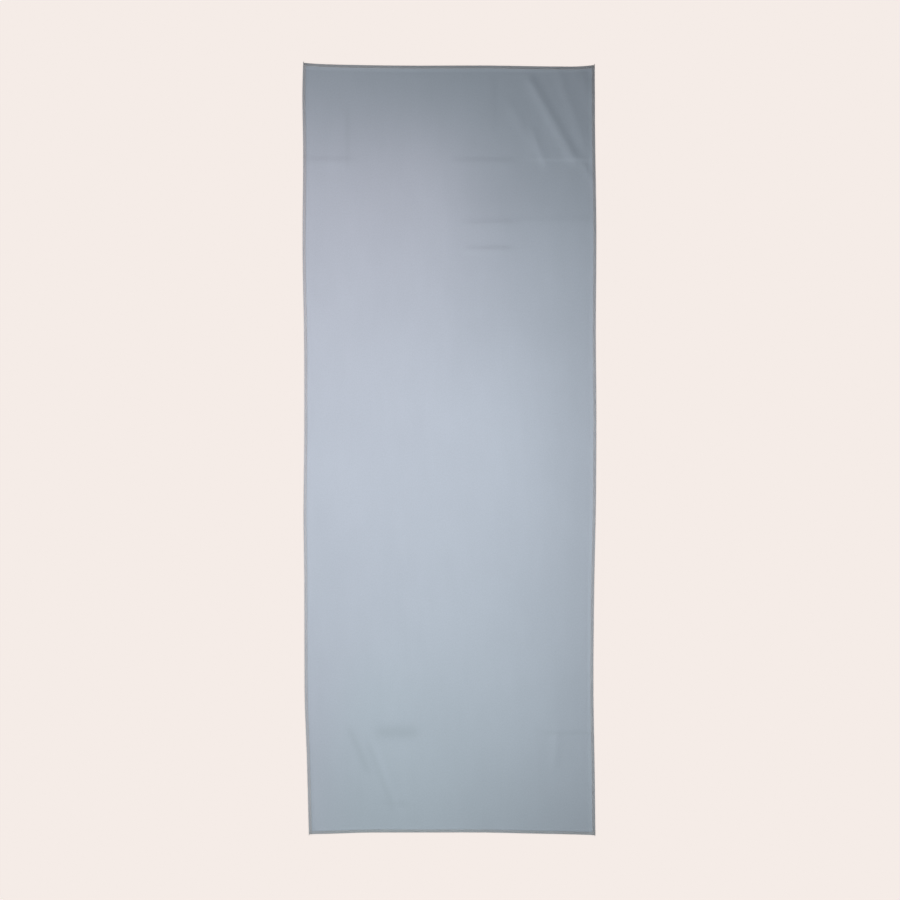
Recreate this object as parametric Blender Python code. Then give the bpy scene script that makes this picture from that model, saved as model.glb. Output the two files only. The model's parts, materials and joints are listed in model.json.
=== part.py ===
"""A quick dry towel: one thin microfibre cloth with an overlocked edge, laid out flat.

The long side runs along Y, and the used face looks along +Z. The origin is on the surface that the
towel lies on, under the middle of its outline. The cloth is four stiff quarters, joined by three folds:
each end folds in to the middle, and the folded towel then folds in half.
"""

import bpy
import bmesh
import numpy as np
from mathutils import Vector

MM = 0.001

# The towel laid flat, 16 by 42 inches.
WIDTH = 0.4064
LENGTH = 1.0668

# Layers, from the surface up.
CLOTH = 0.9 * MM
GAP = 0.3 * MM
EDGE_TOP = 1.9 * MM

# The overlock seam, measured inwards from the cut edge.
LOOPER_WALL = 0.8 * MM
LOOPER_REACH = 3.6 * MM
LOOPER_COVER = 0.7 * MM
NEEDLE_THREAD = 0.6 * MM
SEAM = LOOPER_REACH + GAP + NEEDLE_THREAD
CLOTH_MARGIN = LOOPER_WALL + GAP

# Folds. Each end quarter is a little shorter than an inner one, so the folded ends don't meet.
# A fold's axis lies above what it folds over, at half the height of the folded stack. The folded ends'
# round noses stand a little past their layers, and the half fold leaves room for them.
END_FOLD = LENGTH / 4 + 2.5 * MM
END_FOLD_HEIGHT = 3.0 * MM
NOSE = 0.8 * MM
HALF_FOLD_HEIGHT = 2 * END_FOLD_HEIGHT + NOSE + GAP

# Cut ends of the thread chain at the corners.
TAIL_LENGTH = 1.6 * MM
TAIL_ROOT = 0.6 * MM
TAIL_TIP = 0.35 * MM
TAIL_SIDES = 8

# Every piece bends at the same stations along the towel and across it.
STATION = 25.4 * MM

# How far the cut edge lies inside the outline's box: (share of the length or width, inset).
# Shares run from -0.5 at the bottom or left to 0.5 at the top or right.
LEFT_INSET = (
    (-0.50, 9.0 * MM),
    (-0.40, 6.2 * MM),
    (-0.31, 3.0 * MM),
    (-0.17, 2.6 * MM),
    (-0.09, 1.5 * MM),
    (0.03, 2.6 * MM),
    (0.12, 2.5 * MM),
    (0.27, 0.2 * MM),
    (0.38, 1.1 * MM),
    (0.46, 0.0),
    (0.50, 1.2 * MM),
)
RIGHT_INSET = (
    (-0.50, 1.4 * MM),
    (-0.43, 2.2 * MM),
    (-0.30, 4.1 * MM),
    (-0.20, 3.3 * MM),
    (-0.06, 0.6 * MM),
    (0.04, 0.0),
    (0.15, 0.8 * MM),
    (0.27, 0.1 * MM),
    (0.42, 1.9 * MM),
    (0.50, 2.3 * MM),
)
TOP_INSET = (
    (-0.50, 0.0),
    (-0.40, 2.2 * MM),
    (-0.10, 3.8 * MM),
    (0.10, 3.6 * MM),
    (0.40, 5.1 * MM),
    (0.47, 4.6 * MM),
    (0.50, 2.8 * MM),
)
BOTTOM_INSET = (
    (-0.50, 1.2 * MM),
    (-0.42, 1.8 * MM),
    (-0.26, 3.6 * MM),
    (0.08, 3.7 * MM),
    (0.28, 2.2 * MM),
    (0.42, 1.0 * MM),
    (0.50, 0.0),
)

CLOTH_COLOUR = (0.41, 0.44, 0.485, 1.0)
THREAD_COLOUR = (0.56, 0.54, 0.535, 1.0)


def inset(points, share):
    """The smooth curve through the points, which never swings past a peak or a dip."""
    shares, depths = np.array(points).T
    steps = np.diff(depths) / np.diff(shares)
    inner = [2 * a * b / (a + b) if a * b > 0 else 0.0 for a, b in zip(steps, steps[1:])]
    slopes = np.array([steps[0], *inner, steps[-1]])
    i = int(np.clip(np.searchsorted(shares, share) - 1, 0, len(steps) - 1))
    span = shares[i + 1] - shares[i]
    t = (share - shares[i]) / span
    rise = t * t * (3 - 2 * t)
    start_pull = t * (1 - t) ** 2 * slopes[i] * span
    end_pull = t * t * (t - 1) * slopes[i + 1] * span
    return float(depths[i] + rise * (depths[i + 1] - depths[i]) + start_pull + end_pull)


def left_edge(y):
    return -WIDTH / 2 + inset(LEFT_INSET, y / LENGTH)


def right_edge(y):
    return WIDTH / 2 - inset(RIGHT_INSET, y / LENGTH)


def top_edge(x):
    return LENGTH / 2 - inset(TOP_INSET, x / WIDTH)


def bottom_edge(x):
    return -LENGTH / 2 + inset(BOTTOM_INSET, x / WIDTH)


def corner(side_edge, end_edge):
    """Where a side's cut edge meets an end's."""
    x = side_edge(0.0)
    for _ in range(4):
        y = end_edge(x)
        x = side_edge(y)
    return x, y


def material(name, colour, roughness):
    made = bpy.data.materials.new(name)
    made.use_nodes = True
    shader = made.node_tree.nodes["Principled BSDF"]
    shader.inputs["Base Color"].default_value = colour
    shader.inputs["Roughness"].default_value = roughness
    shader.inputs["Metallic"].default_value = 0.0
    return made


def empty(name, place, parent=None):
    """A frame that pieces hang from, at a place in the towel's own frame."""
    made = bpy.data.objects.new(name, None)
    bpy.context.scene.collection.objects.link(made)
    made.parent = parent
    made.location = Vector(place) - (place_of(parent) if parent else Vector())
    return made


def place_of(frame):
    """A frame's place in the towel's own frame."""
    above = place_of(frame.parent) if frame.parent else Vector()
    return above + frame.location


def piece(name, shape, parent, finish):
    """A named object that carries a shape drawn in the towel's own frame."""
    bmesh.ops.recalc_face_normals(shape, faces=shape.faces)
    bmesh.ops.translate(shape, verts=shape.verts, vec=-place_of(parent))
    mesh = bpy.data.meshes.new(name)
    shape.to_mesh(mesh)
    shape.free()
    mesh.materials.append(finish)
    made = bpy.data.objects.new(name, mesh)
    made.parent = parent
    bpy.context.scene.collection.objects.link(made)
    return made


def slab(outline, bottom, top):
    """A flat plate with the outline, a list of (x, y)."""
    shape = bmesh.new()
    rim = [shape.verts.new((x, y, bottom)) for x, y in outline]
    face = shape.faces.new(rim)
    raised = bmesh.ops.extrude_face_region(shape, geom=[face])
    verts = [v for v in raised["geom"] if isinstance(v, bmesh.types.BMVert)]
    bmesh.ops.translate(shape, verts=verts, vec=(0, 0, top - bottom))
    return shape


def run(rings):
    """A bar through closed rings of points, with its two ends filled."""
    shape = bmesh.new()
    rows = [[shape.verts.new(point) for point in ring] for ring in rings]
    for row, following in zip(rows, rows[1:]):
        for i, vert in enumerate(row):
            j = (i + 1) % len(row)
            shape.faces.new((vert, row[j], following[j], following[i]))
    shape.faces.new(rows[0])
    shape.faces.new(rows[-1])
    return shape


# Cross-sections of the seam, as (inwards from the cut edge, up).
LOOPER_SECTION = (
    (0.25 * MM, 0.0),
    (0.0, 0.35 * MM),
    (0.0, EDGE_TOP - 0.4 * MM),
    (0.4 * MM, EDGE_TOP),
    (LOOPER_REACH - 0.2 * MM, EDGE_TOP),
    (LOOPER_REACH, EDGE_TOP - 0.2 * MM),
    (LOOPER_REACH, EDGE_TOP - LOOPER_COVER),
    (LOOPER_WALL, EDGE_TOP - LOOPER_COVER),
    (LOOPER_WALL, 0.0),
)
NEEDLE_SECTION = (
    (SEAM - NEEDLE_THREAD, CLOTH + GAP),
    (SEAM - NEEDLE_THREAD, EDGE_TOP - 0.2 * MM),
    (SEAM - NEEDLE_THREAD / 2, EDGE_TOP),
    (SEAM, EDGE_TOP - 0.2 * MM),
    (SEAM, CLOTH + GAP),
)


def stations(start, end):
    """The places from start to end at which a piece bends, both included."""
    low, high = min(start, end), max(start, end)
    first = int(np.ceil((low + CLOTH_MARGIN) / STATION))
    last = int(np.floor((high - CLOTH_MARGIN) / STATION))
    inner = [i * STATION for i in range(first, last + 1)]
    places = [low, *inner, high]
    return places if start < end else places[::-1]


def side_run(section, edge, inwards, low, high):
    """Part of the seam along a side, from one y to another."""
    rings = []
    for y in stations(low, high):
        x = edge(y)
        rings.append([(x + inwards * depth, y, z) for depth, z in section])
    return run(rings)


def end_run(section, edge, inwards, left, right):
    """The seam along an end, from one x to another."""
    rings = []
    for x in stations(left, right):
        y = edge(x)
        rings.append([(x, y + inwards * depth, z) for depth, z in section])
    return run(rings)


def cloth_quarter(low, high):
    """One quarter of the cloth. low and high give y along its two ends, at an x."""

    def left(y):
        return left_edge(y) + CLOTH_MARGIN

    def right(y):
        return right_edge(y) - CLOTH_MARGIN

    (left_low, low_left), (right_low, low_right) = corner(left, low), corner(right, low)
    (left_high, high_left), (right_high, high_right) = corner(left, high), corner(right, high)
    outline = [(left(y), y) for y in stations(low_left, high_left)]
    outline += [(x, high(x)) for x in stations(left_high, right_high)[1:-1]]
    outline += [(right(y), y) for y in stations(high_right, low_right)]
    outline += [(x, low(x)) for x in stations(right_low, left_low)[1:-1]]
    return slab(outline, 0.0, CLOTH)


def tail(place, outwards):
    """The cut end of the thread chain, a short stub that narrows outwards from a corner."""
    shape = bmesh.new()
    bmesh.ops.create_cone(
        shape, cap_ends=True, segments=TAIL_SIDES, radius1=TAIL_ROOT, radius2=TAIL_TIP, depth=TAIL_LENGTH
    )
    along = Vector(outwards).normalized()
    turn = along.to_track_quat("Z", "Y").to_matrix()
    bmesh.ops.rotate(shape, cent=(0, 0, 0), matrix=turn, verts=shape.verts)
    middle = Vector(place) + along * (GAP + TAIL_LENGTH / 2)
    bmesh.ops.translate(shape, verts=shape.verts, vec=middle)
    return shape


def build():
    for old in list(bpy.data.objects):
        bpy.data.objects.remove(old)

    cloth = material("cloth", CLOTH_COLOUR, 0.9)
    loopers = material("looper_thread", THREAD_COLOUR, 0.75)
    needle = material("needle_thread", THREAD_COLOUR, 0.6)

    towel = empty("towel", (0, 0, 0))
    half_fold = empty("half_fold", (0, 0, HALF_FOLD_HEIGHT), towel)
    top_fold = empty("top_fold", (0, END_FOLD, END_FOLD_HEIGHT), half_fold)
    bottom_fold = empty("bottom_fold", (0, -END_FOLD, END_FOLD_HEIGHT), towel)

    # Where each quarter begins and ends along the towel, with half a gap left at each fold.
    after_bottom = -END_FOLD + GAP / 2
    before_bottom = -END_FOLD - GAP / 2
    before_top = END_FOLD - GAP / 2
    after_top = END_FOLD + GAP / 2

    def cloth_top(x):
        return top_edge(x) - CLOTH_MARGIN

    def cloth_bottom(x):
        return bottom_edge(x) + CLOTH_MARGIN

    def level(y):
        return lambda x: y

    piece("cloth_bottom", cloth_quarter(cloth_bottom, level(before_bottom)), bottom_fold, cloth)
    piece("cloth_lower", cloth_quarter(level(after_bottom), level(-GAP / 2)), towel, cloth)
    piece("cloth_upper", cloth_quarter(level(GAP / 2), level(before_top)), half_fold, cloth)
    piece("cloth_top", cloth_quarter(level(after_top), cloth_top), top_fold, cloth)

    sides = (("left", left_edge, 1), ("right", right_edge, -1))
    threads = (("loopers", LOOPER_SECTION, loopers), ("needle_thread", NEEDLE_SECTION, needle))
    for side, edge, inwards in sides:
        lowest = corner(edge, bottom_edge)[1] + SEAM + GAP
        highest = corner(edge, top_edge)[1] - SEAM - GAP
        quarters = (
            ("bottom", bottom_fold, lowest, before_bottom),
            ("lower", towel, after_bottom, -GAP / 2),
            ("upper", half_fold, GAP / 2, before_top),
            ("top", top_fold, after_top, highest),
        )
        for quarter, parent, low, high in quarters:
            for thread, section, finish in threads:
                shape = side_run(section, edge, inwards, low, high)
                piece(f"{side}_{thread}_{quarter}", shape, parent, finish)

    ends = (("bottom", bottom_edge, 1, bottom_fold), ("top", top_edge, -1, top_fold))
    for end, edge, inwards, parent in ends:
        left, left_y = corner(left_edge, edge)
        right, right_y = corner(right_edge, edge)
        shape = end_run(LOOPER_SECTION, edge, inwards, left, right)
        piece(f"end_loopers_{end}", shape, parent, loopers)
        shape = end_run(NEEDLE_SECTION, edge, inwards, left + SEAM, right - SEAM)
        piece(f"end_needle_thread_{end}", shape, parent, needle)
        for side, x, y, outwards in (("left", left, left_y, -1), ("right", right, right_y, 1)):
            # The stub leaves the end's seam along Y, half a stub in from the corner.
            root = (x - outwards * TAIL_ROOT, y, EDGE_TOP / 2)
            piece(f"thread_tail_{end}_{side}", tail(root, (0, -inwards, 0)), parent, loopers)


build()
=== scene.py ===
"""The looks of a quick dry towel: brushed microfibre cloth with an overlocked edge, laid flat.

The frame gives the size, the outline and the folds. The cloth is one fabric, made as three sheets that
meet edge to edge on the flat quarters, so that each sheet crosses one fold. The seam's
threads are tubes that follow their real stitches round the cut edge.
"""

import json
import math

import bpy
import numpy as np
from mathutils import Matrix, Vector


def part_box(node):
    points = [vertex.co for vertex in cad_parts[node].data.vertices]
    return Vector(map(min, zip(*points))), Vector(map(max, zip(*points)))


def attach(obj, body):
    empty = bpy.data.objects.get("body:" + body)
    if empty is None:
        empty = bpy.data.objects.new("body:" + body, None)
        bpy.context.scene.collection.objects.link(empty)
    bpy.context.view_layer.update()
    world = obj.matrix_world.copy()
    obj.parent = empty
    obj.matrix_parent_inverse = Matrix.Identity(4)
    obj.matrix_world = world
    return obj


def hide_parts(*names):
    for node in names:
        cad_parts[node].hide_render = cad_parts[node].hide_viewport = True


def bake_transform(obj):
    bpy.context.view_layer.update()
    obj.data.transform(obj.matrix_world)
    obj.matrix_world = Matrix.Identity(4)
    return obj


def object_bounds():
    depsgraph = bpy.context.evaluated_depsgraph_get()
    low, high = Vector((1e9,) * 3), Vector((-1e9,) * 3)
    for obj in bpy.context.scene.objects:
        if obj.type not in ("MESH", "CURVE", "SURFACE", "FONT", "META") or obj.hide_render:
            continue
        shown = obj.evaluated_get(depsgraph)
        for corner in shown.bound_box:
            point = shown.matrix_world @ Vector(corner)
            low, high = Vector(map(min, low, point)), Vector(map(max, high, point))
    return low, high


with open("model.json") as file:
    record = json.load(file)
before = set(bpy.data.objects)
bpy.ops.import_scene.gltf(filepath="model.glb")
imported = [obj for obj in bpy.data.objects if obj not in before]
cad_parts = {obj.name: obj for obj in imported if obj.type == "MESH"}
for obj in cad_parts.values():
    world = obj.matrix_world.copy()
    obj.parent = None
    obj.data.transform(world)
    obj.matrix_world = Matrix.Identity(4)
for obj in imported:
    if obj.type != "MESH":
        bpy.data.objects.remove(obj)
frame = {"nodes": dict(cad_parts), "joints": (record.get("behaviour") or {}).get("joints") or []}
cad_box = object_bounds()

MM = 0.001
UP = np.array((0.0, 0.0, 1.0))

# ---------------------------------------------------------------- sizes

# The cloth's thickness, in the open and where the stitches press it.
CLOTH = 0.9 * MM
PRESSED_CLOTH = 0.75 * MM

# The threads wrap round the cloth's cut edge, so the cloth ends a little inside the towel's outline.
THREAD_RADIUS = 0.26 * MM
THREAD = 2 * THREAD_RADIUS
CLOTH_INSET = 0.55 * MM

# The length of one stitch.
STITCH = 1.9 * MM

# From the cut edge inwards, the cloth rides on the seam's lower thread, and then comes down to the floor.
SEAM = 4.4 * MM
SEAM_RISE = 5.0 * MM
SEAM_ZONE = SEAM + SEAM_RISE

HALF_WIDTH = (cad_box[1].x - cad_box[0].x) / 2
HALF_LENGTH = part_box("end_loopers_top")[1].y

# The sheets meet this far from the middle, and the sides' threads are divided there too.
CUT = HALF_LENGTH / 4

# Each sheet and each side thread has three spans. Each span's name, the fold that it crosses, and the bodies
# on the two sides of that fold, the first and the second.
SPANS = (
    ("bottom", "bottom_end_fold", "bottom_quarter", "lower_quarter"),
    ("middle", "half_fold", "lower_quarter", "upper_quarter"),
    ("top", "top_end_fold", "upper_quarter", "top_quarter"),
)
FOLDS = {joint["name"]: joint["pos_m"] for joint in frame["joints"]}

# The frame's quarters that each span lies on.
QUARTERS = {
    "bottom": ("bottom", "lower"),
    "middle": ("lower", "upper"),
    "top": ("upper", "top"),
}


def fold_band(fold):
    """Where a fold's bend begins and ends along the towel: half a turn at the height of its axis."""
    _, y, height = FOLDS[fold]
    reach = math.pi * height / 2
    return y - reach, y + reach


# ---------------------------------------------------------------- outline


def smoothstep(t):
    t = np.clip(t, 0.0, 1.0)
    return t * t * (3 - 2 * t)


class Edge:
    """A cut edge of the towel: how far out it lies at each place along it, as the frame has it."""

    CLOSE = 5 * MM

    def __init__(self, nodes, along, outwards, ends=()):
        """along is the axis that the edge runs along. ends are the places that it has to reach."""
        rows = dict(ends)
        rows_at_ends = set(rows)
        for node in nodes:
            for vert in frame["nodes"][node].data.vertices:
                place = round(vert.co[along], 5)
                reach = vert.co[1 - along]
                held = rows.get(place, reach)
                rows[place] = max(held, reach) if outwards > 0 else min(held, reach)
        # Of two places closer together than CLOSE one is kept, and a place given in ends stays.
        kept = []
        for place in sorted(rows):
            if kept and place - kept[-1] <= self.CLOSE:
                if place not in rows_at_ends:
                    continue
                kept.pop()
            kept.append(place)
        self.places = np.array(kept)
        self.values = np.array([rows[place] for place in kept])
        self.slopes = np.gradient(self.values, self.places)
        self.along = along
        self.inwards = -outwards

    def at(self, place):
        """The smooth curve through the frame's points."""
        place = np.asarray(place, float)
        i = np.clip(np.searchsorted(self.places, place) - 1, 0, len(self.places) - 2)
        span = self.places[i + 1] - self.places[i]
        t = np.clip((place - self.places[i]) / span, 0.0, 1.0)
        rise = smoothstep(t)
        start_pull = t * (1 - t) ** 2 * self.slopes[i] * span
        end_pull = t * t * (t - 1) * self.slopes[i + 1] * span
        return self.values[i] + rise * (self.values[i + 1] - self.values[i]) + start_pull + end_pull

    def point(self, place, depth):
        """(x, y) at a place along the edge, that far in from it."""
        across = self.at(place) + self.inwards * depth
        return (place, across) if self.along == 0 else (across, place)


def make_edges():
    edges = {
        "top": Edge(["end_loopers_top"], along=0, outwards=1),
        "bottom": Edge(["end_loopers_bottom"], along=0, outwards=-1),
    }
    for side, outwards, corner in (("left", -1, 0), ("right", 1, -1)):
        ends = {}
        for end in ("bottom", "top"):
            ends[float(edges[end].values[corner])] = float(edges[end].places[corner])
        nodes = [f"{side}_loopers_{quarter}" for quarter in ("bottom", "lower", "upper", "top")]
        edges[side] = Edge(nodes, along=1, outwards=outwards, ends=ends)
    return edges


EDGES = make_edges()


def depth_from_sides(x, y):
    return np.minimum(x - EDGES["left"].at(y), EDGES["right"].at(y) - x)


def depth_from_ends(x, y):
    return np.minimum(y - EDGES["bottom"].at(x), EDGES["top"].at(x) - y)


# ---------------------------------------------------------------- relief

# Creases left by folding and packing. Each has a route in shares of the towel's half width and half length,
# its height in mm, how far it slopes away to the left and to the right of the route in mm, and how much
# lighter or darker, as a share, the colour is painted there: painted shade and painted highlight along the
# crease.
CREASES = (
    # Pulled from the top right corner.
    (((0.566, 0.943), (0.836, 0.760)), 1.65, 5.5, 5.5, 0.0),
    (((0.737, 0.981), (0.905, 0.801)), 0.66, 6.0, 5.5, 0.0),
    (((0.575, 0.816), (0.637, 0.752)), 0.85, 5.2, 3.7, 0.0),
    (((0.600, 0.7525), (0.980, 0.7525)), 0.42, 9.0, 2.3, 0.010),
    (((0.920, 0.733), (0.970, 0.696)), 0.50, 3.0, 4.0, 0.0),
    (((0.900, 0.968), (0.975, 0.912)), 0.60, 5.0, 8.0, -0.010),
    (((0.428, 0.880), (0.560, 0.796)), 0.60, 6.0, 6.0, 0.0),
    # Across the top, where it was folded for the shelf.
    (((-0.980, 0.7460), (-0.710, 0.7460)), 0.56, 3.6, 6.0, -0.014),
    (((0.075, 0.7430), (0.380, 0.7430)), 0.50, 3.6, 7.0, -0.014),
    (((0.170, 0.5165), (0.365, 0.5165)), 0.80, 3.0, 5.5, -0.012),
    (((0.160, 0.584), (0.375, 0.584)), 0.60, 3.5, 9.0, -0.016),
    (((0.390, 0.588), (0.950, 0.588)), 0.45, 5.0, 12.0, -0.006),
    (((0.000, 0.592), (1.000, 0.592)), 0.80, 22.0, 45.0, 0.0),
    (((0.295, 0.838), (0.295, 0.952)), 0.35, 8.0, 3.5, -0.018),
    (((-0.694, 0.746), (-0.694, 0.862)), 0.10, 2.6, 2.6, -0.038),
    # Across the bottom.
    (((-0.440, -0.7335), (-0.270, -0.7335)), 0.20, 7.5, 6.5, -0.092),
    (((0.685, -0.7355), (0.970, -0.7355)), 0.20, 2.6, 2.3, -0.038),
    (((-0.700, -0.688), (0.700, -0.688)), 0.60, 40.0, 15.0, 0.0),
    (((-0.663, -0.741), (-0.575, -0.818)), 0.20, 4.5, 4.0, -0.066),
    (((-0.536, -0.779), (-0.399, -0.915), (-0.335, -0.918)), 0.15, 3.5, 3.5, -0.044),
    (((-0.499, -0.775), (-0.361, -0.910)), 0.20, 3.5, 3.5, 0.022),
    (((0.730, -0.741), (0.715, -0.804)), 0.80, 5.0, 5.0, 0.010),
)
CREASE_FADE = 9 * MM

# Slow waves over the whole cloth: wavelength across and along in mm, height in mm, and phase in turns.
WAVES = (
    (310.0, 900.0, 0.20, 0.10),
    (-420.0, 260.0, 0.16, 0.55),
    (170.0, -340.0, 0.10, 0.80),
    (95.0, 210.0, 0.05, 0.30),
)

# The stitching draws the edge in, and the cloth beside it ripples: wavelength, height, reach in mm.
RIPPLES = ((61.0, 0.16, 16.0), (37.0, 0.08, 9.0))

# Broad patches of painted light and painted shade: the middle in shares of the half width and half length,
# how far the patch reaches across and along in mm, and how much lighter or darker it is painted, as a share.
# They were set where the lit cloth still came out lighter or darker than the real towel, to paint in what
# the lamps left over.
PAINTED_SHADING_PATCHES = (
    (-0.51, 0.92, 48.0, 48.0, -0.033),
    (-0.85, 0.70, 30.0, 38.0, 0.045),
    (0.37, 0.67, 41.0, 48.0, -0.027),
    (0.37, 0.05, 44.0, 58.0, 0.045),
    (-0.41, -0.22, 62.0, 70.0, -0.015),
)


def crease(x, y, route, left, right):
    """1 along a route and 0 away from it. It may slope away faster on one side."""
    shape = np.zeros_like(x)
    points = np.array(route) * (HALF_WIDTH, HALF_LENGTH)
    for start, end in zip(points, points[1:]):
        length = np.linalg.norm(end - start)
        dx, dy = (end - start) / length
        along = (x - start[0]) * dx + (y - start[1]) * dy
        to_left = (y - start[1]) * dx - (x - start[0]) * dy
        width = np.where(to_left > 0, left, right) * MM
        past = np.maximum(np.maximum(-along, along - length), 0.0)
        shape = np.maximum(shape, np.exp(-0.5 * (to_left / width) ** 2 - 0.5 * (past / CREASE_FADE) ** 2))
    return shape


def relief(x, y):
    """How far the cloth stands off the floor between its seams."""
    raised = np.zeros_like(x)
    for route, height, left, right, _ in CREASES:
        raised += height * MM * crease(x, y, route, left, right)
    for across, along, height, phase in WAVES:
        turns = x / (across * MM) + y / (along * MM) + phase
        raised += height * MM * (0.5 + 0.5 * np.sin(2 * math.pi * turns))
    side, end = depth_from_sides(x, y), depth_from_ends(x, y)
    for length, height, reach in RIPPLES:
        for depth, place in ((side, y + x), (end, x - y)):
            fade = np.exp(-np.maximum(depth, 0.0) / (reach * MM))
            raised += height * MM * fade * (0.5 + 0.5 * np.sin(2 * math.pi * place / (length * MM)))
    return raised


def painted_shading(x, y):
    """The painted shading: 1, less for painted shade and more for painted highlight, on creases and patches.
    """
    light = np.ones_like(x)
    for route, _, left, right, tint in CREASES:
        light += tint * crease(x, y, route, left, right)
    # Broad patches of painted light and painted shade.
    for across, along, width, length, tint in PAINTED_SHADING_PATCHES:
        to_side = (x - across * HALF_WIDTH) / (width * MM)
        to_end = (y - along * HALF_LENGTH) / (length * MM)
        light += tint * np.exp(-0.5 * (to_side**2 + to_end**2))
    return light


def seam_rise(depth):
    """1 on the seam, and 0 where the cloth is down on the floor again."""
    return 1 - smoothstep((depth - SEAM) / SEAM_RISE)


def cloth_bottom(x, y):
    lift = THREAD * (seam_rise(depth_from_sides(x, y)) + seam_rise(depth_from_ends(x, y)))
    return relief(x, y) + lift


def cloth_top(x, y):
    pressed = np.maximum(seam_rise(depth_from_sides(x, y)), seam_rise(depth_from_ends(x, y)))
    return cloth_bottom(x, y) + CLOTH - (CLOTH - PRESSED_CLOTH) * pressed


# ---------------------------------------------------------------- meshes


def new_object(name, verts, faces, uvs, finish):
    """A mesh object from arrays. uvs holds one (u, v) for each vert."""
    mesh = bpy.data.meshes.new(name)
    mesh.from_pydata(verts.tolist(), [], faces)
    layer = mesh.uv_layers.new(name="threads")
    corners = np.zeros(len(mesh.loops), int)
    mesh.loops.foreach_get("vertex_index", corners)
    layer.data.foreach_set("uv", uvs[corners].astype(np.float32).ravel())
    mesh.materials.append(finish)
    made = bpy.data.objects.new(name, mesh)
    bpy.context.scene.collection.objects.link(made)
    return made


# How many places a spacing is read at, and how fast its steps grow with the distance from a fine zone.
FINE_PLACES = 6001
STEP_GROWTH = 0.22


def graded(low, high, spacing):
    """Places from low to high, whose steps follow spacing(place)."""
    fine = np.linspace(low, high, FINE_PLACES)
    density = 1 / spacing(fine)
    count = np.concatenate(([0.0], np.cumsum((density[1:] + density[:-1]) / 2 * np.diff(fine))))
    steps = int(np.ceil(count[-1]))
    return np.interp(np.linspace(0, count[-1], steps + 1), count, fine)


def finer_near(coarse, zones):
    """A spacing that is coarse, and finer at each (low, high, step) zone, with gradual steps between."""

    def spacing(place):
        steps = np.full_like(place, coarse)
        for low, high, step in zones:
            away = np.maximum(np.maximum(low - place, place - high), 0.0)
            steps = np.minimum(steps, step + STEP_GROWTH * away)
        return steps

    return spacing


def grid_faces(rows, columns, first, flipped):
    """Quads of a grid of verts, row by row, starting at the vert first."""
    start = first + (np.arange(rows - 1)[:, None] * columns + np.arange(columns - 1)).ravel()
    quads = np.stack((start, start + 1, start + columns + 1, start + columns), 1)
    return (quads[:, ::-1] if flipped else quads).tolist()


def rim_faces(rows, columns):
    """Quads that join the top grid's rim to the bottom grid's."""
    index = np.arange(rows * columns).reshape(rows, columns)
    rim = np.concatenate((index[0, :-1], index[:-1, -1], index[-1, :0:-1], index[:0:-1, 0]))
    following = np.roll(rim, -1)
    under = rows * columns
    return np.stack((rim, rim + under, following + under, following), 1).tolist()


COLUMN_STEP = 2.3 * MM
ROW_STEP = 2.5 * MM
EDGE_STEP = 0.9 * MM
FOLD_STEP = 0.8 * MM
CREASE_STEP = 1.1 * MM

# Shares of the half length at which a crease crosses the towel, and how far its closer rows reach.
CREASE_LINES = (0.752, 0.745, 0.586, 0.518, -0.734)
CREASE_REACH = 3 * MM

# A sharper bend than this isn't shaded smooth.
SHARP = math.radians(50)


def columns():
    """Shares of the width at which the cloth's columns stand."""
    zones = (
        (-HALF_WIDTH, -HALF_WIDTH + SEAM_ZONE, EDGE_STEP),
        (HALF_WIDTH - SEAM_ZONE, HALF_WIDTH, EDGE_STEP),
    )
    places = graded(-HALF_WIDTH, HALF_WIDTH, finer_near(COLUMN_STEP, zones))
    return (places + HALF_WIDTH) / (2 * HALF_WIDTH)


def rows(low, high):
    """Places along the towel at which a sheet's rows stand."""
    zones = [
        (-HALF_LENGTH, -HALF_LENGTH + SEAM_ZONE, EDGE_STEP),
        (HALF_LENGTH - SEAM_ZONE, HALF_LENGTH, EDGE_STEP),
    ]
    zones += [(*fold_band(fold), FOLD_STEP) for fold in FOLDS]
    for line in CREASE_LINES:
        place = line * HALF_LENGTH
        zones.append((place - CREASE_REACH, place + CREASE_REACH, CREASE_STEP))
    return graded(low, high, finer_near(ROW_STEP, zones))


# The rows are straight until they are past the folds, and then take the shape of the end.
STRAIGHT = HALF_LENGTH * 0.56


def sheet(name, low, high, finish):
    """A closed sheet of cloth between two places along the towel."""
    share, nominal = np.meshgrid(columns(), rows(low, high))
    straight_x = EDGES["left"].at(nominal) * (1 - share) + EDGES["right"].at(nominal) * share
    bend = smoothstep((np.abs(nominal) - STRAIGHT) / (HALF_LENGTH - STRAIGHT))
    top = EDGES["top"].at(straight_x) - CLOTH_INSET - HALF_LENGTH
    bottom = EDGES["bottom"].at(straight_x) + CLOTH_INSET + HALF_LENGTH
    y = nominal + bend * np.where(nominal > 0, top, bottom)
    x = (EDGES["left"].at(y) + CLOTH_INSET) * (1 - share) + (EDGES["right"].at(y) - CLOTH_INSET) * share
    upper = np.stack((x, y, cloth_top(x, y)), -1).reshape(-1, 3)
    lower = np.stack((x, y, cloth_bottom(x, y)), -1).reshape(-1, 3)
    verts = np.concatenate((upper, lower))
    count, across = x.shape
    faces = grid_faces(count, across, 0, False)
    faces += grid_faces(count, across, count * across, True)
    faces += rim_faces(count, across)
    made = new_object(name, verts, faces, verts[:, :2], finish)
    # Painted shade and painted highlight for the cloth's colour, stored on each point.
    lay = made.data.attributes.new("painted_shading", "FLOAT", "POINT")
    lay.data.foreach_set("value", painted_shading(verts[:, 0], verts[:, 1]).astype(np.float32))
    made.data.shade_smooth()
    made.data.set_sharp_from_angle(angle=SHARP)
    return made


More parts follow.
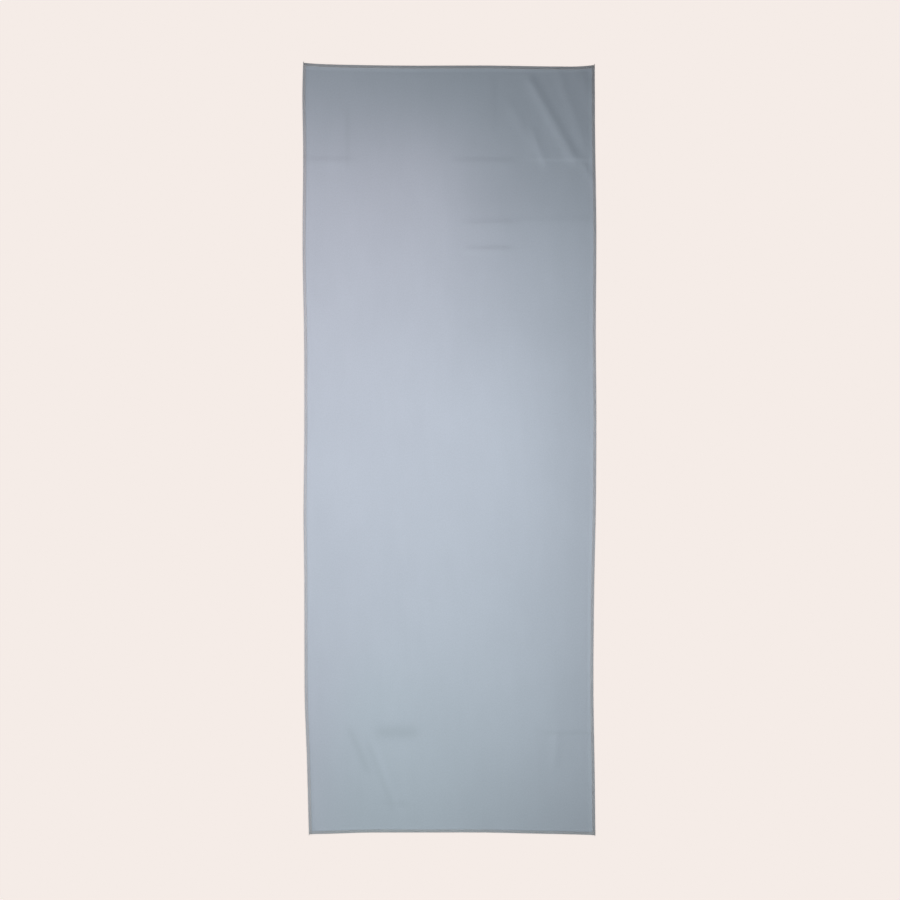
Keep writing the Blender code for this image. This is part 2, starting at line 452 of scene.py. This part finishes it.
def rings_along(path, radius, sides):
    """Rings of points round a path, and how far along the path each ring is."""
    tangent = np.gradient(path, axis=0)
    tangent /= np.linalg.norm(tangent, axis=1, keepdims=True)
    side = np.cross(tangent, UP)
    side /= np.linalg.norm(side, axis=1, keepdims=True)
    over = np.cross(side, tangent)
    angle = np.arange(sides) * 2 * math.pi / sides
    cosine, sine = np.cos(angle)[None, :, None], np.sin(angle)[None, :, None]
    round_it = cosine * side[:, None] + sine * over[:, None]
    steps = np.linalg.norm(np.diff(path, axis=0), axis=1)
    return path[:, None] + radius * round_it, np.concatenate(([0.0], np.cumsum(steps)))


def tubes(name, parts, finish):
    """An object of one or more closed tubes, each given by its rings and their distances."""
    all_verts, all_faces, all_uvs = [], [], []
    first = 0
    for rings, distance in parts:
        count, sides = rings.shape[:2]
        index = first + np.arange(count * sides).reshape(count, sides)
        turned = np.roll(index, -1, axis=1)
        quads = np.stack((index[:-1], index[1:], turned[1:], turned[:-1]), -1).reshape(-1, 4)
        all_faces += quads.tolist()
        all_faces += [index[0].tolist(), index[-1, ::-1].tolist()]
        all_verts.append(rings.reshape(-1, 3))
        round_share = np.tile(np.arange(sides) / sides, (count, 1))
        all_uvs.append(np.stack((np.repeat(distance[:, None], sides, 1), round_share), -1).reshape(-1, 2))
        first += count * sides
    made = new_object(name, np.concatenate(all_verts), all_faces, np.concatenate(all_uvs), finish)
    made.data.polygons.foreach_set("use_smooth", [len(face) == 4 for face in all_faces])
    return made


# ---------------------------------------------------------------- seam

# One stitch of each thread: share of the stitch along the seam, depth from the cut edge in mm, and level.
# Level 0 is half way through the cloth, and 1 is lying on its surface.
UPPER_LOOPER = (
    (0.00, 4.00, 1.0),
    (0.18, 2.70, 1.0),
    (0.36, 1.00, 1.0),
    (0.45, 0.28, 0.3),
    (0.59, 0.28, 0.3),
    (0.67, 1.00, 1.0),
    (0.79, 2.70, 1.0),
)
LOWER_LOOPER = (
    (0.00, 4.00, 1.0),
    (0.22, 2.60, 1.0),
    (0.37, 1.00, 1.0),
    (0.45, 0.28, 0.2),
    (0.59, 0.28, 0.2),
    (0.67, 1.00, 1.0),
    (0.82, 2.60, 1.0),
)
NEEDLE_THREAD = (
    (0.00, 4.00, 1.80),
    (0.34, 4.05, 1.45),
    (0.66, 4.05, 0.55),
)

# The rings of a thread's tube for each point of its stitch, and the sides of a ring.
STEPS_PER_POINT = 2
THREAD_SIDES = 5


def along_cycle(cycle, turns):
    """The smooth closed curve through a stitch's points, repeated: (share, depth, level) at each turn."""
    points = np.array(cycle)
    count = len(points)
    place = turns * count
    whole = np.floor(place).astype(int)
    t = (place - whole)[:, None]

    def control(i):
        moved = points[i % count].copy()
        moved[:, 0] += i // count
        return moved

    before, here, after, beyond = (control(whole + step) for step in (-1, 0, 1, 2))
    bend = 2 * before - 5 * here + 4 * after - beyond
    twist = 3 * here - before - 3 * after + beyond
    return here + 0.5 * t * (after - before + t * (bend + t * twist))


def thread_path(edge, low, high, cycle, shift, face, crossing):
    """A thread's whole path along one edge. face is 1 on top and -1 underneath.

    crossing is true for a seam that was sewn over another one at its two ends.
    """
    stitches = round((high - low) / STITCH)
    turns = np.arange(stitches * len(cycle) * STEPS_PER_POINT + 1) / (len(cycle) * STEPS_PER_POINT)
    share, depth, level = along_cycle(cycle, turns).T
    place = np.clip(low + (share + shift) * (high - low) / stitches, low, high)
    x, y = edge.point(place, depth * MM)
    top, bottom = cloth_top(x, y), cloth_bottom(x, y)
    over = THREAD * seam_rise(depth_from_ends(x, y)) if crossing else 0.0
    surface = top + THREAD_RADIUS + over if face > 0 else bottom - THREAD_RADIUS - over
    middle = (top + bottom) / 2
    return np.stack((x, y, middle + (surface - middle) * level), -1)


# Each thread's name, its stitch, where along the stitch it begins as a share, the face that it lies on, and
# the frame's nodes that it is part of.
THREADS = (
    ("upper_looper", UPPER_LOOPER, 0.0, 1, "loopers"),
    ("lower_looper", LOWER_LOOPER, 0.5, -1, "loopers"),
    ("needle_stitches", NEEDLE_THREAD, 0.0, 1, "needle_thread"),
)


def side_thread(side, thread, cycle, shift, face, node, finish):
    """A thread along one side, in three spans that share the rings where they meet."""
    edge = EDGES[side]
    low, high = edge.places[0] + CLOTH_INSET, edge.places[-1] - CLOTH_INSET
    path = thread_path(edge, low, high, cycle, shift, face, crossing=True)
    rings, distance = rings_along(path, THREAD_RADIUS, THREAD_SIDES)
    cuts = [0, *(int(np.argmin(np.abs(path[:, 1] - y))) for y in (-CUT, CUT)), len(path) - 1]
    made = []
    for span, first, last in zip(SPANS, cuts, cuts[1:]):
        part = slice(first, last + 1)
        piece = tubes(f"{side}_{thread}_{span[0]}", [(rings[part], distance[part])], finish)
        cross_fold(piece)
        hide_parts(*(f"{side}_{node}_{quarter}" for quarter in QUARTERS[span[0]]))
        made.append(piece)
    return made


def end_thread(end, thread, cycle, shift, face, node, finish):
    """A thread along one end."""
    edge = EDGES[end]
    low, high = edge.places[0] + CLOTH_INSET, edge.places[-1] - CLOTH_INSET
    path = thread_path(edge, low, high, cycle, shift, face, crossing=False)
    piece = tubes(f"end_{thread}_{end}", [rings_along(path, THREAD_RADIUS, THREAD_SIDES)], finish)
    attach(piece, f"{end}_quarter")
    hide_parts(f"end_{node}_{end}")
    return piece


# A tail's place from the corner, its length and its turns, how far its strands stand from its middle, and
# how much farther at the cut end.
TAIL_INSET = 0.7 * MM
TAIL_LENGTH = 1.7 * MM
TAIL_TWIST = 0.8
TAIL_SPREAD = 0.26 * MM
TAIL_SPLAY = 0.30 * MM
TAIL_STRANDS = 3
TAIL_RINGS = 9
TAIL_STRAND_RADIUS = 0.8 * THREAD_RADIUS


def thread_tail(end, side, finish):
    """The cut end of the twisted thread chain, where a side's seam runs off the cloth."""
    corner = 0 if side == "left" else -1
    edge = EDGES[end]
    x = edge.places[corner] + (TAIL_INSET if side == "left" else -TAIL_INSET)
    y = edge.values[corner] + edge.inwards * CLOTH_INSET
    z = (cloth_top(x, y) + cloth_bottom(x, y)) / 2
    t = np.linspace(0, 1, TAIL_RINGS)
    parts = []
    for strand in range(TAIL_STRANDS):
        angle = 2 * math.pi * (strand / TAIL_STRANDS + TAIL_TWIST * t)
        spread = TAIL_SPREAD + TAIL_SPLAY * t**3
        reach = y - edge.inwards * TAIL_LENGTH * t
        path = np.stack((x + spread * np.cos(angle), reach, z + spread * np.sin(angle)), -1)
        parts.append(rings_along(path, TAIL_STRAND_RADIUS, THREAD_SIDES))
    piece = tubes(f"thread_end_{end}_{side}", parts, finish)
    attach(piece, f"{end}_quarter")
    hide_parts(f"thread_tail_{end}_{side}")
    return piece


def cross_fold(piece):
    """Bakes a piece's place into its mesh. It does not bend the piece over its span's fold."""
    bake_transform(piece)


# ---------------------------------------------------------------- materials


def node(tree, kind, inputs=(), **settings):
    """A shader node. An input is a value, or a socket that it is linked to."""
    made = tree.nodes.new(kind)
    for name, value in settings.items():
        setattr(made, name, value)
    for name, value in dict(inputs).items():
        if isinstance(value, bpy.types.NodeSocket):
            tree.links.new(value, made.inputs[name])
        else:
            made.inputs[name].default_value = value
    return made


def new_material(name, finish):
    """A material, its node tree and its shader, with the finish set on the shader's own sockets."""
    made = bpy.data.materials.new(name)
    made.use_nodes = True
    tree = made.node_tree
    shader = tree.nodes["Principled BSDF"]
    for socket, value in finish.items():
        shader.inputs[socket].default_value = value
    return made, tree, shader


def stretched(tree, along_u, along_v):
    """The piece's own flat coordinates, multiplied to repeats per metre."""
    place = node(tree, "ShaderNodeUVMap", uv_map="threads").outputs["UV"]
    settings = {"Vector": place, "Scale": (along_u, along_v, 1)}
    return node(tree, "ShaderNodeMapping", settings).outputs["Vector"]


def noise(tree, place, detail=2.0, roughness=0.5):
    settings = {"Vector": place, "Scale": 1.0, "Detail": detail, "Roughness": roughness}
    return node(tree, "ShaderNodeTexNoise", settings, noise_dimensions="2D").outputs["Fac"]


def ranged(tree, value, low, high, source=(0.25, 0.75)):
    """A value moved from the source range to the range from low to high."""
    settings = {"Value": value, "From Min": source[0], "From Max": source[1], "To Min": low, "To Max": high}
    return node(tree, "ShaderNodeMapRange", settings).outputs["Result"]


def maths(tree, operation, *values):
    settings = dict(enumerate(values))
    return node(tree, "ShaderNodeMath", settings, operation=operation).outputs["Value"]


def product(tree, *values):
    result = values[0]
    for value in values[1:]:
        result = maths(tree, "MULTIPLY", result, value)
    return result


def tinted(tree, colour, shade):
    """A colour, made lighter or darker by a shade round 1."""
    return node(tree, "ShaderNodeVectorMath", {0: colour, "Scale": shade}, operation="SCALE").outputs[0]


CLOTH_COLOUR = (0.410, 0.440, 0.485)
THREAD_COLOUR = (0.560, 0.540, 0.535)

# How often each mark on the cloth repeats in a metre, across the towel and along it.
FIBRES = (2600, 1100)
TUFTS = (620, 420)
STROKES = (55, 16)
PATCHES = (9, 7)

# A thread is spun from this many plies. Its fuzz repeats this often in a metre along it, and once round it.
PLIES = 2
FUZZ = (3000, 9)


def cloth_material():
    """Brushed microfibre, a short pile with brush strokes over a fine warp knit, with painted shade and
    highlight.
    """
    finish = {
        "Sheen Weight": 0.25,
        "Sheen Roughness": 0.45,
        "Sheen Tint": (0.92, 0.96, 1.0, 1.0),
        "Specular IOR Level": 0.25,
    }
    made, tree, shader = new_material("brushed_microfibre", finish)
    fibres = noise(tree, stretched(tree, *FIBRES), detail=3.0, roughness=0.6)
    tufts = noise(tree, stretched(tree, *TUFTS), detail=2.0)
    strokes = noise(tree, stretched(tree, *STROKES), detail=2.0)
    patches = noise(tree, stretched(tree, *PATCHES), detail=1.0)
    shade = product(
        tree,
        # Painted shade and painted highlight, along the creases and on broad patches.
        node(tree, "ShaderNodeAttribute", attribute_name="painted_shading").outputs["Fac"],
        ranged(tree, fibres, 0.93, 1.07),
        ranged(tree, tufts, 0.97, 1.03),
        ranged(tree, strokes, 0.991, 1.009),
        ranged(tree, patches, 0.985, 1.015),
    )
    tree.links.new(tinted(tree, CLOTH_COLOUR, shade), shader.inputs["Base Color"])
    tree.links.new(ranged(tree, tufts, 0.84, 0.96), shader.inputs["Roughness"])
    height = maths(tree, "ADD", fibres, tufts)
    bump = node(tree, "ShaderNodeBump", {"Height": height, "Strength": 0.5, "Distance": 0.12 * MM})
    tree.links.new(bump.outputs["Normal"], shader.inputs["Normal"])
    return made


def thread_material(name, colour, roughness, lay):
    """Spun thread: two plies that turn round each other once in each lay, in metres."""
    finish = {
        "Sheen Weight": 0.2,
        "Sheen Roughness": 0.5,
        "Specular IOR Level": 0.3,
    }
    made, tree, shader = new_material(name, finish)
    place = node(tree, "ShaderNodeSeparateXYZ", {"Vector": stretched(tree, 1 / lay, PLIES)})
    turns = maths(tree, "ADD", place.outputs["X"], place.outputs["Y"])
    ply = maths(tree, "SINE", product(tree, turns, 2 * math.pi))
    fuzz = noise(tree, stretched(tree, *FUZZ), detail=2.0)
    # The colour follows the plies: painted shade in the grooves between them, lighter on their crowns.
    shade = product(tree, ranged(tree, ply, 0.84, 1.10, (-1, 1)), ranged(tree, fuzz, 0.93, 1.07))
    tree.links.new(tinted(tree, colour, shade), shader.inputs["Base Color"])
    tree.links.new(ranged(tree, fuzz, roughness - 0.06, roughness + 0.06), shader.inputs["Roughness"])
    bump = node(tree, "ShaderNodeBump", {"Height": ply, "Strength": 0.6, "Distance": 0.05 * MM})
    tree.links.new(bump.outputs["Normal"], shader.inputs["Normal"])
    return made


# ---------------------------------------------------------------- towel


def make_towel():
    cloth = cloth_material()
    looper = thread_material("looper_thread", THREAD_COLOUR, 0.78, 0.9 * MM)
    needle = thread_material("needle_thread", THREAD_COLOUR, 0.62, 0.7 * MM)
    finishes = {"loopers": looper, "needle_thread": needle}

    sewn_on = {"bottom": [], "middle": [], "top": []}
    for thread, cycle, shift, face, nodes in THREADS:
        finish = finishes[nodes]
        for side in ("left", "right"):
            pieces = side_thread(side, thread, cycle, shift, face, nodes, finish)
            for piece, span in zip(pieces, SPANS):
                sewn_on[span[0]].append(piece)
        for end in ("bottom", "top"):
            piece = end_thread(end, thread, cycle, shift, face, nodes, finish)
            sewn_on[end].append(piece)
    for end in ("bottom", "top"):
        for side in ("left", "right"):
            piece = thread_tail(end, side, looper)
            sewn_on[end].append(piece)

    limits = (-HALF_LENGTH, -CUT, CUT, HALF_LENGTH)
    towel = [piece for pieces in sewn_on.values() for piece in pieces]
    for span, low, high in zip(SPANS, limits, limits[1:]):
        piece = sheet(f"towel_cloth_{span[0]}", low, high, cloth)
        cross_fold(piece)
        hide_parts(*(f"cloth_{quarter}" for quarter in QUARTERS[span[0]]))
        towel.append(piece)
    return towel


# ---------------------------------------------------------------- studio

# The colour that the stage shows, the light from all round, and the share of it that the floor gives back.
# The floor's own glow makes up the rest of its colour.
PALE = np.array((0.913, 0.838, 0.799))
AMBIENT = np.array((0.115, 0.125, 0.142))
FLOOR_WHITE = 0.40
FLOOR_LEVEL = -0.2 * MM
# The stage's radius is less than the distance that a camera sees, also with the towel folded.
STAGE_SIZE = 18.0


def glow_material(name, glow, white):
    """A matt surface that also glows, so that its colour holds wherever the light falls."""
    finish = {
        "Base Color": (white, white, white, 1.0),
        "Roughness": 1.0,
        "Specular IOR Level": 0.0,
        "Emission Color": (*glow, 1.0),
        "Emission Strength": 1.0,
    }
    return new_material(name, finish)[0]


def seen_only(piece):
    """The stage is seen, but gives the towel no light."""
    piece.visible_diffuse = False
    piece.visible_glossy = False
    piece.visible_transmission = False
    piece.visible_shadow = False


def make_stage():
    bpy.ops.mesh.primitive_circle_add(
        vertices=96, radius=STAGE_SIZE, fill_type="NGON", location=(0, 0, FLOOR_LEVEL)
    )
    floor = bpy.context.object
    floor.name = "floor"
    floor.data.materials.append(glow_material("floor", PALE - FLOOR_WHITE * AMBIENT, FLOOR_WHITE))
    seen_only(floor)
    bpy.ops.mesh.primitive_uv_sphere_add(segments=64, ring_count=32, radius=STAGE_SIZE)
    backdrop = bpy.context.object
    backdrop.name = "backdrop"
    backdrop.data.materials.append(glow_material("backdrop", PALE, 0.0))
    seen_only(backdrop)


def studio_light(towel, name, centre, towards, size, power, colour):
    """A soft box that lights the towel and not the stage."""
    data = bpy.data.lights.new(name, "AREA")
    data.shape = "RECTANGLE"
    data.size, data.size_y = size
    data.energy = power
    data.color = colour
    light = bpy.data.objects.new(name, data)
    bpy.context.scene.collection.objects.link(light)
    back = -Vector(towards).normalized()
    right = Vector((0, 1, 0)).cross(back).normalized()
    turn = Matrix((right, back.cross(right), back)).transposed().to_4x4()
    light.matrix_world = Matrix.Translation(centre) @ turn
    light.visible_camera = False
    light.light_linking.receiver_collection = towel


# Each light's name, centre, direction, width and height, power in watts, and colour. The key, fill and
# bounce lights were not set by hand: they were fitted by least squares to the shading on the real towel.
# The side light's place was given, and its power was worked out from its share of the light.
LIGHTS = (
    ("key_light", (-0.09, -0.075, 0.69), (-0.635, -0.016, -0.772), (0.92, 0.785), 6.45, (0.902, 0.973, 1.0)),
    ("fill_light", (-0.31, 0.17, 0.41), (-0.290, -0.598, -0.747), (0.82, 0.66), 0.82, (1.0, 0.733, 0.805)),
    ("bounce_light", (-0.10, -0.74, 0.25), (0.772, -0.213, -0.598), (0.39, 0.90), 0.085, (0.0, 1.0, 0.571)),
    ("side_light", (-3.65, -2.75, 2.03), (0.730, 0.550, -0.406), (1.4, 1.4), 75.9, (1.0, 1.0, 1.0)),
)


def make_lights(pieces):
    towel = bpy.data.collections.new("lit_by_the_studio")
    for piece in pieces:
        towel.objects.link(piece)
    for light in LIGHTS:
        studio_light(towel, *light)
    world = bpy.data.worlds.new("studio")
    world.use_nodes = True
    background = world.node_tree.nodes["Background"]
    background.inputs["Color"].default_value = (*AMBIENT, 1.0)
    background.inputs["Strength"].default_value = 1.0
    bpy.context.scene.world = world


# The width that the camera sees at the floor, and the place that it looks down on.
VIEW_WIDTH = 1.2434
VIEW_CENTRE = (0.0009, -0.00135)
LENS = 85.0
SENSOR = 36.0


def make_camera():
    """Straight above the towel, with its top end up."""
    data = bpy.data.cameras.new("camera")
    data.lens = LENS
    data.sensor_width = SENSOR
    data.clip_end = 3 * STAGE_SIZE
    camera = bpy.data.objects.new("camera", data)
    camera.location = (*VIEW_CENTRE, VIEW_WIDTH * LENS / SENSOR)
    bpy.context.scene.collection.objects.link(camera)
    bpy.context.scene.camera = camera
    bpy.context.scene.view_settings.view_transform = "Standard"


# A new Blender file has a camera and a light of its own.
for old in [o for o in bpy.data.objects if o.type in ("CAMERA", "LIGHT")]:
    bpy.data.objects.remove(old)

make_camera()
towel_pieces = make_towel()
make_stage()
make_lights(towel_pieces)
